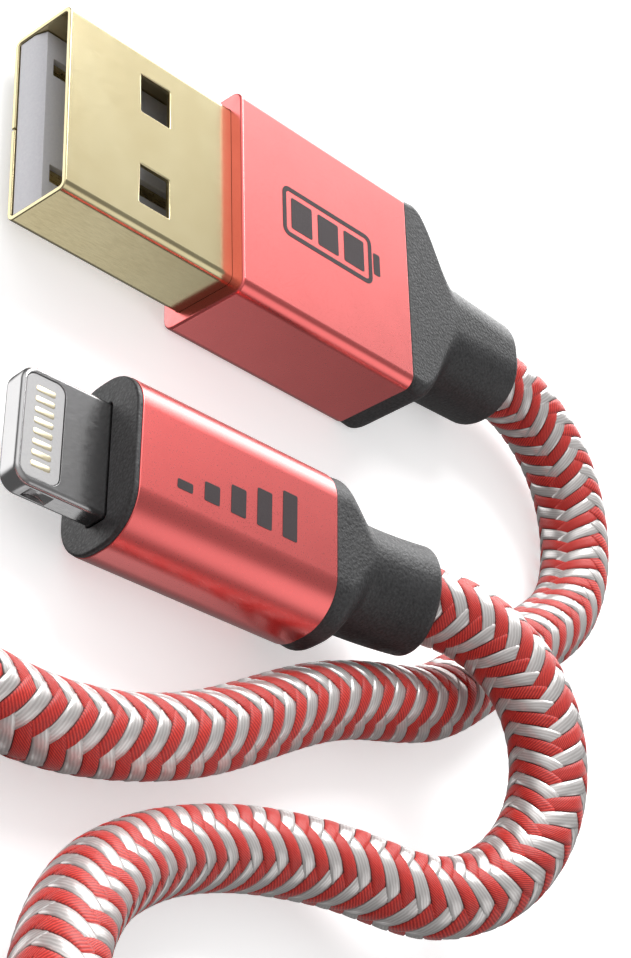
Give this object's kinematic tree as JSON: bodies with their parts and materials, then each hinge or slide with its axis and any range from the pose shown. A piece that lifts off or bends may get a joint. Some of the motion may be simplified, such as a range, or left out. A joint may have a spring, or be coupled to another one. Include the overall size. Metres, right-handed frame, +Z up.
{
  "type": "charging cable",
  "caption": "Braided charging cable with a folded-shell USB plug and a flat reversible phone plug, both in metal sleeves with moulded strain reliefs, its spare cord coiled in a strap",
  "frame": {"origin": "on the surface that the cable lies on, under the middle of the box round the two plugs", "axes": "the plugs point towards -Y, the USB plug's tongue is on its lower side, +Z is up, the USB plug is on the -X side and the phone plug on the +X side"},
  "size_m": [0.0928, 0.1115, 0.0112],
  "materials": {
    "plated_shell": "satin gold-coloured plating",
    "insulator": "white, smooth",
    "contact": "gold-plated",
    "mould": "moulded, plain",
    "wire": "wire insulation",
    "steel": "satin",
    "braid": "red and white braid",
    "housing": "satin coral red",
    "grip": "fine grain, dark grey",
    "board": "solder mask",
    "chip": "black",
    "strap": "woven strap"
  },
  "bodies": {
    "root": {"usb_shell": "plated_shell", "usb_insulator": "insulator", "usb_power_contact": "contact", "usb_data_minus_contact": "contact", "usb_data_plus_contact": "contact", "usb_ground_contact": "contact", "usb_inner_mould": "mould", "usb_wires": "wire", "usb_cord_clamp": "steel", "usb_cord_end": "braid", "usb_housing": "housing", "usb_strain_relief": "grip", "phone_tip_frame": "steel", "phone_tip_insert": "insulator", "phone_contacts_top": "contact", "phone_contacts_bottom": "contact", "phone_circuit_board": "board", "phone_control_chips": "chip", "phone_bezel": "grip", "phone_inner_mould": "mould", "phone_wires": "wire", "phone_cord_clamp": "steel", "phone_cord_end": "braid", "phone_housing": "housing", "phone_strain_relief": "grip", "cord_usb_run": "braid", "cord_coil": "braid", "cord_phone_run": "braid", "coil_strap": "strap"}
  },
  "joints": []
}
